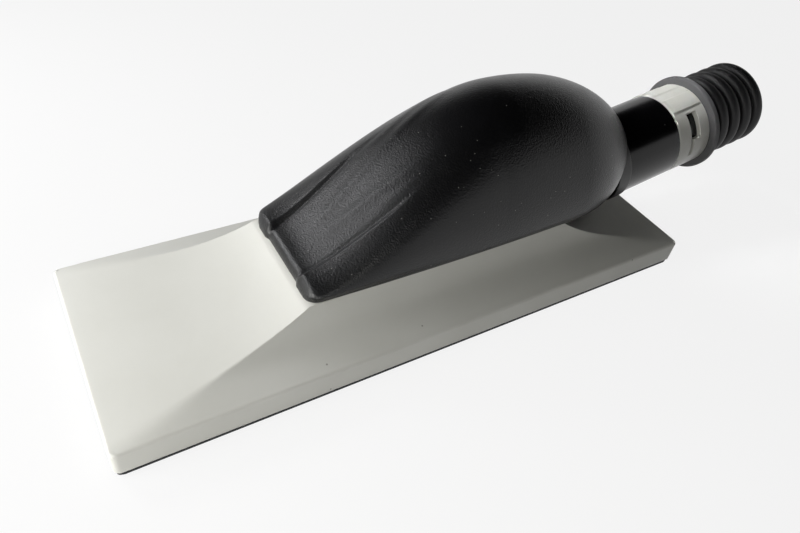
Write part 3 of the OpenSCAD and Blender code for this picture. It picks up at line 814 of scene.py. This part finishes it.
@dataclass
class Grip:
    """The soft cover of the grip: a low nose, a crowned back with flutes, and a domed tail."""

    axis: Axis
    nose: float = -41.2
    tail: float = 86.3
    seat: float = 22.0
    cover: float = 2.0
    crown_x: float = 30.0
    wide_x: float = 50.0
    opening: float = 16.05
    opening_s: float = -4.2
    nose_round: float = 2.2
    plan_round: float = 3.4
    stations: int = 190
    flank: int = 14
    dome: int = 150

    def foot_half(self, x: np.ndarray) -> np.ndarray:
        """Half width on the seat: 18.5, 0.9 more at the nose, closing to 0 at the tail."""
        return 18.5 * fall(part_of(x, self.wide_x, self.tail), 2.4) + 0.9 * (
            1 - part_of(x, self.nose, self.nose / 4)
        )

    def wide_half(self, x: np.ndarray) -> np.ndarray:
        """Greatest half width: from 19.4 to 27 by a power of a sine, then closing to the tail."""
        front = 19.4 + 7.6 * np.sin(np.radians(90 * part_of(x, self.nose, self.wide_x))) ** 0.65
        return np.where(x < self.wide_x, front, 27 * fall(part_of(x, self.wide_x, self.tail), 1.75))

    def wide_z(self, x: np.ndarray) -> np.ndarray:
        """Height of the widest line: it climbs 14.1 towards the tail."""
        return self.seat + 0.3 + 14.1 * part_of(x, self.nose, self.tail) ** 0.7

    def crown_z(self, x: np.ndarray) -> np.ndarray:
        """Height of the crown: a power of a sine up to the crown, then a quarter ellipse."""
        front = 25.2 + 41 * np.sin(np.radians(90 * part_of(x, self.nose, self.crown_x))) ** 1.47
        return np.where(x < self.crown_x, front, 32.6 + 33.6 * fall(part_of(x, self.crown_x, self.tail), 2))

    def flutes(self, x: np.ndarray, y: np.ndarray) -> np.ndarray:
        """Height of the moulded relief on the dome.

        Two lobes stand proud of a recessed middle panel at the nose, and pairs of low ridges
        run up from it and fade out towards the crown.

        Args:
            x: along the grip.
            y: across it.

        Returns:
            Millimetres outward.
        """
        across = np.abs(y)
        groove = 10.6 + 2.6 * part_of(x, -40, -14)
        lobe = 0.9 * eased(across, groove - 0.7, groove + 0.9) * (1 - eased(x, -26, 6))
        cut = -0.6 * np.exp(-(((across - groove) / 0.7) ** 2)) * (1 - eased(x, -22, -4))
        inner = 3.2 + 0.19 * (x + 24)
        outer = 10.2 + 0.14 * (x + 12)
        ridges = 0.34 * np.exp(
            -(((across - inner) / 1.9) ** 2)
        ) * eased(x, -36, -20) * (1 - eased(x, 0, 34))
        ridges += 0.32 * np.exp(
            -(((across - outer) / 2.0) ** 2)
        ) * eased(x, -20, -6) * (1 - eased(x, 8, 40))
        return lobe + cut + ridges

    def surface(self, x: np.ndarray, v: np.ndarray, d: float) -> np.ndarray:
        """Points of the grip's form, drawn in by d.

        A cross section climbs one flank, passes over the dome and comes down the other flank.
        The dome is a superellipse in polar form whose power goes from boxy at the nose to round.

        Args:
            x: stations along the grip.
            v: 0 at the near foot, 1 at the far foot.
            d: how far inside the outer skin.

        Returns:
            Points, with the relief where d is 0.
        """
        x, v = np.broadcast_arrays(x, v)
        ahead = x - self.nose
        over = self.nose_round - np.sqrt(
            self.nose_round**2 - np.clip(self.nose_round - ahead, 0, self.nose_round) ** 2
        )
        round_in = self.plan_round - np.sqrt(
            self.plan_round**2 - np.clip(self.plan_round - ahead, 0, self.plan_round) ** 2
        )
        foot = np.maximum(0.02, self.foot_half(x) - d - round_in)
        wide = np.maximum(foot + 0.02, self.wide_half(x) - d - round_in)
        wz = np.maximum(self.wide_z(x) - d / 2, self.seat + 0.2)
        top = np.maximum(self.crown_z(x) - d - over, wz + 0.3)
        power = 2 / (0.4 + 0.6 * part_of(x, self.nose, self.nose + 60))
        share = self.flank / (2 * self.flank + self.dome)
        side = np.clip(np.minimum(v, 1 - v) / share, 0, 1)
        turn = np.pi * np.clip((v - share) / (1 - 2 * share), 0, 1)
        c, s = np.cos(turn), np.sin(turn)
        reach = (np.abs(c) ** power + np.abs(s) ** power) ** (-1 / power)
        dome_y, dome_z = -wide * reach * c, wz + (top - wz) * (reach * s) ** 1.06
        on_flank = side < 1
        flank_y = np.sign(v - 0.5) * (foot + (wide - foot) * np.sin(side * np.pi / 2))
        y = np.where(on_flank, flank_y, dome_y)
        z = np.where(on_flank, self.seat + (wz - self.seat) * side, dome_z)
        if d == 0:
            raised = self.flutes(x, y) * np.clip((z - wz) / 1.2, 0, 1) * eased(ahead, 0, 2.0)
            lean = np.clip((np.abs(y) - 0.6 * wide) / (0.4 * wide), 0, 1) ** 2
            y, z = y + np.sign(y) * raised * 0.7 * lean, z + raised * (1 - 0.5 * lean)
            panel = 1 - eased(np.abs(y), 9.6, 11.6)
            x = x + 0.7 * panel * (1 - eased(ahead, 0, 14))
        return np.stack([x, y, z], -1)

    def skin(self, d: float) -> np.ndarray:
        """The grid of one skin, from the nose's lower edge to the outlet's opening.

        Each line that runs from nose to tail stops where it enters the passage of the outlet,
        found by halving an interval for all lines at once.

        Args:
            d: how far inside the outer skin.

        Returns:
            Points, stations by lines.
        """
        v = np.linspace(0, 1, 2 * self.flank + self.dome + 1)
        start = self.nose + d
        low, high = np.full(v.shape, 20.0), np.full(v.shape, self.tail - d - 0.01)
        for _ in range(40):
            middle = (low + high) / 2
            s, r = self.axis.polar(self.surface(middle, v, d))
            inside = np.maximum(r - self.opening, self.opening_s - s) < 0
            low, high = np.where(inside, low, middle), np.where(inside, middle, high)
        t = np.linspace(0, 1, self.stations)
        t = 0.55 * t + 0.45 * t**2.2
        grid = self.surface(start + (high - start)[None] * t[:, None], v[None], d)
        foot = np.repeat(grid[:1], 3, axis=0)
        foot[:, :, 2] = self.seat + (grid[:1, :, 2] - self.seat) * np.array([[0.0], [0.4], [0.8]])
        return np.concatenate([foot, grid])

    def build(self) -> bpy.types.Object:
        """Builds the cover between its outer and inner skins."""
        outer, inner = self.skin(0.0), self.skin(self.cover)
        rows, cols = outer.shape[:2]
        faces = triangles(grid_quads(rows, cols))
        piece = make_mesh(
            "grip_cover_skin", *solid_between(outer.reshape(-1, 3), inner.reshape(-1, 3), faces), sharp=60
        )
        return settle(piece, GRIP_RUBBER, Body.BLOCK, "grip_rubber", "grip_cover")


# ---- Outlet ----


@dataclass
class Outlet:
    """The outlet tube with its collar and the regulator ring with its bleed window."""

    axis: Axis
    base: BaseShell
    tube_r: float = 15.1
    tube_end: float = 28.0
    nose_r: float = 13.19
    nose_end: float = 41.9
    ring_s: tuple[float, float] = (28.1, 42.7)
    ring_in: float = 13.25
    window_at: float = -146.0
    window_s: tuple[float, float, float] = (33.5, 35.1, 38.1)
    window_deg: tuple[float, float] = (38.0, 63.0)
    pads: tuple[float, ...] = (-178.0, -217.0, -256.0)

    def tube(self) -> bpy.types.Object:
        """The tube, turned from its outline and lifted clear of the rear slope below it."""
        r, e = self.tube_r, self.tube_end
        outline = rounded_outline([
            (-10, 10.6, 0), (-10, 13.6, 0.2), (-8.6, 13.6, 0.2), (-8.6, 12.55, 0.2), (-3, 12.55, 0.2),
            (-3, r, 0.4),
            (e, r, 0.45), (e, self.nose_r, 0.1), (
                self.nose_end, self.nose_r, 0.3
            ), (self.nose_end, 11.19, 0.3),
            (25.4, 11.19, 0.2), (25.4, 12.55, 0.2), (-1, 12.55, 0.2), (-1, 10.6, 0.2),
        ], reach=1.2)
        grid = self.axis.turned(outline)
        floor = self.base.roof(grid[..., 0], grid[..., 1]) + 0.4
        near = np.abs(grid[..., 0]) < self.base.length / 2
        grid[..., 2] = np.where(near, np.maximum(grid[..., 2], floor), grid[..., 2])
        return settle(
            turned_mesh("outlet_tube_body", grid), GLOSS_BLACK, Body.BLOCK, "black_gloss", "outlet_tube"
        )

    def collar(self) -> bpy.types.Object:
        """The thin band round the tube where it leaves the grip."""
        outline = rounded_outline(
            [(-1, 15.16, 0.1), (-1, 15.65, 0.2), (4.3, 15.65, 0.25), (4.3, 15.16, 0.1)], reach=0.8
        )
        grid = self.axis.turned(outline)
        floor = self.base.roof(grid[..., 0], grid[..., 1]) + 0.4
        grid[..., 2] = np.maximum(grid[..., 2], floor)
        return settle(
            turned_mesh("outlet_collar_band", grid), COLLAR_NYLON, Body.BLOCK, "collar_plastic",
            "outlet_collar"
        )

    def ring(self) -> bpy.types.Object:
        """The regulator ring: a turned wall with an L-shaped window cut out of its cells.

        The outer radius is the tube's, less a quarter-circle rounding at both ends, plus the
        thumb pads, whose edges rise over one degree.

        Returns:
            The piece.
        """
        s0, s1 = self.ring_s
        even = np.linspace(s0, s1, 40)
        s = np.unique(
            np.round(
                np.concatenate(
                    [
                        even, self.window_s, s0 + np.array([0.03, 0.1, 0.2, 0.35]),
                        s1 - np.array([0.03, 0.1, 0.2, 0.35])
                    ]
                ),
                4
            )
        )
        angle = np.arange(360.0) - 180
        ends = np.minimum(s - s0, s1 - s)
        soft = 0.4
        radius = self.tube_r - soft + np.sqrt(
            np.clip(soft**2 - np.clip(soft - ends, 0, soft) ** 2, 0, None)
        )
        radius = np.repeat(radius[:, None], 360, axis=1)
        for start in self.pads:
            turn = (angle - start) % 360
            across = eased(turn, 0, 2) * (1 - eased(turn, 24, 26))
            radius += 0.45 * across[None] * (
                eased(s, s0 + 0.5, s0 + 1.2) * (1 - eased(s, s1 - 1.2, s1 - 0.5))
            )[:, None]
        outer = self.axis.at(s[:, None], radius, angle[None])
        inner = self.axis.at(s[:, None], np.full_like(radius, self.ring_in), angle[None])
        quads = grid_quads(len(s), 360, wrap=True)
        middle_s = np.repeat((s[1:] + s[:-1]) / 2, 360)
        turn = (np.tile(angle + 0.5, len(s) - 1) - self.window_at) % 360
        lo, foot, hi = self.window_s
        wide = (middle_s > lo) & (middle_s < hi) & (turn < self.window_deg[0])
        narrow = (middle_s > lo) & (middle_s < foot) & (turn < self.window_deg[1])
        faces = triangles(quads[~(wide | narrow)])
        piece = make_mesh(
            "regulator_ring_wall",
            *solid_between(outer.reshape(-1, 3), inner.reshape(-1, 3), faces),
            sharp=40
        )
        return settle(piece, RING_ACETAL, Body.RING, "ring_plastic", "regulator_ring")

    def build(self) -> list[bpy.types.Object]:
        """Builds the tube, the collar and the ring."""
        return [self.tube(), self.collar(), self.ring()]


@dataclass
class HoseEnd:
    """The swivelling connector: a sleeve with its stop flange, and the ribbed nipple over it."""

    axis: Axis
    bore: float = 9.3
    sleeve_r: float = 11.13
    flange_r: float = 17.7
    flange_s: tuple[float, float] = (42.8, 45.0)
    sleeve_s: tuple[float, float] = (22.0, 68.2)
    nipple_s: tuple[float, float] = (45.0, 72.2)
    root_r: float = 13.5
    rib_r: float = 15.6
    first_rib: float = 51.0
    pitch: float = 6.0
    ribs: int = 4

    def sleeve(self) -> bpy.types.Object:
        """The sleeve, with grooves for its seal and snap ring and a round-edged flange."""
        r, (f0, f1), (s0, s1) = self.sleeve_r, self.flange_s, self.sleeve_s
        outline = rounded_outline([
            (s0, self.bore, 0.3), (s0, r, 0.4), (23.9, r, 0), (23.9, r - 1, 0), (25.3, r - 1, 0),
            (25.3, r, 0), (32.4, r, 0), (32.4, r - 1, 0),
            (34.6, r - 1, 0), (34.6, r, 0), (f0, r, 0.1), (
                f0, self.flange_r, 0.7
            ), (f1, self.flange_r, 0.7), (f1, 11.2, 0.1), (s1, 11.2, 0.3), (s1, self.bore, 0.3),
        ])
        return settle(
            turned_mesh("swivel_sleeve_body", self.axis.turned(outline)),
            FLANGE_RUBBER,
            Body.HOSE,
            "flange_rubber",
            "swivel_sleeve"
        )

    def nipple(self) -> bpy.types.Object:
        """The nipple: a smooth land, rounded ribs and a rounded open end.

        Along the ribs the radius is the root's plus the rib height times a power of a sine over
        the rib's half-width; the outline then closes over the end and back along the bore.

        Returns:
            The piece.
        """
        s0, s1 = self.nipple_s
        s = np.linspace(s0 + 0.4, s1 - 1.8, 240)
        half = 0.36 * self.pitch
        rise = np.zeros_like(s)
        for i in range(self.ribs):
            off = np.abs(s - self.first_rib - i * self.pitch)
            rise = np.maximum(
                rise, np.where(off < half, np.sqrt(np.clip(1 - (off / half) ** 2, 0, 1)) ** 0.8, 0)
            )
        outer = np.stack([s, self.root_r + (self.rib_r - self.root_r) * rise], -1)
        rest = rounded_outline(
            [
                (s1, self.root_r, 1.7), (s1, 9.6, 0.5), (68.3, 9.6, 0.1), (68.3, 11.22, 0.1),
                (s0, 11.22, 0.1), (s0, self.root_r, 0.2)
            ],
            steps=8
        )
        side = (
            np.abs(rest[:, 1] - self.root_r) < 1e-6
        ) & (rest[:, 0] > s0 + 0.3) & (rest[:, 0] < s1 - 1.75)
        outline = np.concatenate([outer, rest[~side]])
        return settle(
            turned_mesh("hose_nipple_sleeve", self.axis.turned(outline), sharp=55),
            NIPPLE_RUBBER,
            Body.HOSE,
            "nipple_rubber",
            "hose_nipple"
        )

    def build(self) -> list[bpy.types.Object]:
        """Builds the sleeve and the nipple."""
        return [self.sleeve(), self.nipple()]


# ---- Parts kept from the frame ----

KEPT = {
    "sole_plate": SOLE_NYLON,
    "sole_gasket": GASKET_FOAM,
    "sole_screws": ZINC_STEEL,
    "duct_gasket": GASKET_FOAM,
    "dust_duct": DUCT_ABS,
    "duct_oring": SEAL_RUBBER,
    "grip_core": CORE_NYLON,
    "grip_screws": ZINC_STEEL,
    "stop_pin": ZINC_STEEL,
    "slip_washer": WASHER_ACETAL,
    "swivel_oring": SEAL_RUBBER,
    "snap_ring": ZINC_STEEL,
}


def dress_kept() -> None:
    """Gives each CAD node that stays on show its finish."""
    for name, finish in KEPT.items():
        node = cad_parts[name]
        material = finish.material()
        if not node.material_slots:
            node.data.materials.append(material)
        for place in node.material_slots:
            place.material = material
        LOG.info("%s: kept, %s", name, finish.name)


# ---- Studio ----


@dataclass
class Studio:
    """The floor, the soft lights and the camera."""

    camera_at: tuple[float, float, float] = (-95.26, -131.69, 156.23)
    heading: float = 53.57
    pitch: float = -43.03
    roll: float = 9.08
    lens: float = 29.764
    floor_half: float = 3000.0
    wall_height: float = 1400.0
    floor_colour: str = "#f2f2f2"
    glow: float = 0.86
    world_level: float = 0.004

    def camera(self) -> None:
        """Makes the camera from its place, heading, pitch and roll."""
        h, p, k = math.radians(self.heading), math.radians(self.pitch), math.radians(self.roll)
        ahead = Vector((math.cos(h) * math.cos(p), math.sin(h) * math.cos(p), math.sin(p)))
        level = ahead.cross(Vector((0, 0, 1))).normalized()
        up = level.cross(ahead)
        right, top = level * math.cos(k) + up * math.sin(k), up * math.cos(k) - level * math.sin(k)
        data = bpy.data.cameras.new("camera")
        data.lens, data.sensor_width = self.lens, 36
        data.clip_start, data.clip_end = 0.01, 20
        camera = bpy.data.objects.new("camera", data)
        bpy.context.scene.collection.objects.link(camera)
        turn = Matrix((right, top, -ahead)).transposed().to_4x4()
        camera.matrix_world = Matrix.Translation(Vector(self.camera_at) * MM) @ turn
        bpy.context.scene.camera = camera

    def pale(self) -> bpy.types.Material:
        """Builds the matt pale paper of floor and wall.

        It glows for camera, glossy and transmission rays, so that it reads as near white to the
        eye and in reflections, and still takes the object's shadow from the lamps.

        Returns:
            The material.
        """
        made = bpy.data.materials.new("matt_paper")
        made.use_nodes = True
        tree = made.node_tree
        tree.nodes.clear()
        place = add_node(tree, "ShaderNodeTexCoord").outputs["Object"]
        tone = add_node(tree, "ShaderNodeTexNoise", {"Scale": 3.0, "Detail": 3.0}, {"Vector": place})
        tones = {"A": linear(self.floor_colour), "B": linear("#efefee")}
        colour = add_node(tree, "ShaderNodeMix", tones, {"Factor": tone.outputs["Fac"]}, data_type="RGBA")
        matt = add_node(tree, "ShaderNodeBsdfDiffuse", {}, {"Color": colour.outputs["Result"]})
        light = add_node(tree, "ShaderNodeEmission", {"Color": (1, 1, 1, 1), "Strength": 1.0})
        rays = add_node(tree, "ShaderNodeLightPath").outputs
        seen = add_node(
            tree, "ShaderNodeMath", {}, {0: rays["Is Camera Ray"], 1: rays["Is Glossy Ray"]},
            operation="MAXIMUM"
        )
        seen = add_node(
            tree, "ShaderNodeMath", {}, {0: seen.outputs[0], 1: rays["Is Transmission Ray"]},
            operation="MAXIMUM"
        )
        amount = add_node(
            tree, "ShaderNodeMath", {1: self.glow}, {0: seen.outputs[0]}, operation="MULTIPLY"
        )
        mix = add_node(
            tree, "ShaderNodeMixShader", {}, {0: amount.outputs[0], 1: matt.outputs[0], 2: light.outputs[0]}
        )
        add_node(tree, "ShaderNodeOutputMaterial", {}, {"Surface": mix.outputs[0]})
        return made

    def surround(self) -> None:
        """Makes the pale floor and the low round wall behind it, which meets the floor all round."""
        paper = self.pale()
        turn = np.linspace(0, 2 * np.pi, 97)[:-1]
        rim = np.stack([self.floor_half * np.cos(turn), self.floor_half * np.sin(turn)], -1)
        low = [(x * MM, y * MM, -0.1 * MM) for x, y in rim]
        high = [(x * MM, y * MM, self.wall_height * MM) for x, y in rim]
        count = len(rim)
        walls = [(k, (k + 1) % count, count + (k + 1) % count, count + k) for k in range(count)]
        for name, points, faces in (("floor", low, [tuple(range(count))]), ("wall", low + high, walls)):
            mesh = bpy.data.meshes.new(name)
            mesh.from_pydata(points, [], faces)
            mesh.materials.append(paper)
            sheet = bpy.data.objects.new(name, mesh)
            bpy.context.scene.collection.objects.link(sheet)

    def lamp(
        self, name: str, at: tuple[float, float, float], size: float, power: float, tint: str,
        look: tuple[float, float, float] = (0, 0, 20), spread: float = 180
    ) -> None:
        """Adds a soft square lamp.

        Args:
            name: its name.
            at: its place in millimetres.
            size: its side in millimetres.
            power: watts.
            tint: sRGB hex colour.
            look: the point that it faces.
            spread: how wide it throws, in degrees.
        """
        data = bpy.data.lights.new(name, "AREA")
        data.shape, data.size, data.energy = "SQUARE", size * MM, power
        data.color = linear(tint)[:3]
        data.spread = math.radians(spread)
        lamp = bpy.data.objects.new(name, data)
        bpy.context.scene.collection.objects.link(lamp)
        lamp.location = Vector(at) * MM
        lamp.rotation_euler = (Vector(look) - Vector(at)).to_track_quat("-Z", "Y").to_euler()

    def world(self) -> None:
        """Sets a dim, even surround, the same for every ray."""
        world = bpy.data.worlds.new("surround")
        bpy.context.scene.world = world
        world.use_nodes = True
        tree = world.node_tree
        tree.nodes.clear()
        glow = add_node(tree, "ShaderNodeBackground", {"Color": (1, 1, 1, 1), "Strength": self.world_level})
        add_node(tree, "ShaderNodeOutputWorld", {}, {"Surface": glow.outputs[0]})

    def build(self) -> None:
        """Makes the whole studio."""
        self.camera()
        self.surround()
        self.world()
        self.lamp("window", (-200, 195, 170), 90, 0.30, "#fdfdff", (-38, 0, 22))
        self.lamp("side", (-420, 60, 110), 200, 1.05, "#fffffc", (-60, 0, 15))
        self.lamp("over", (-260, 20, 200), 150, 0.13, "#ffffff", (-60, 0, 10))
        self.lamp("fill", (-200, -160, 130), 110, 0.21, "#fffefa", (-80, -20, 5))
        self.lamp("tail", (60, 90, 170), 40, 0.005, "#ffffff", (120, -4, 42), spread=20)
        bpy.context.scene.view_settings.view_transform = "Standard"


def main() -> None:
    """Builds every sub-assembly in order, then the studio."""
    logging.basicConfig(level=logging.INFO, format="%(name)s %(message)s")
    axis, base = Axis(), BaseShell()
    base.build()
    Pad().build()
    Grip(axis).build()
    Outlet(axis, base).build()
    HoseEnd(axis).build()
    dress_kept()
    Studio().build()


if __name__ == "__main__":
    main()
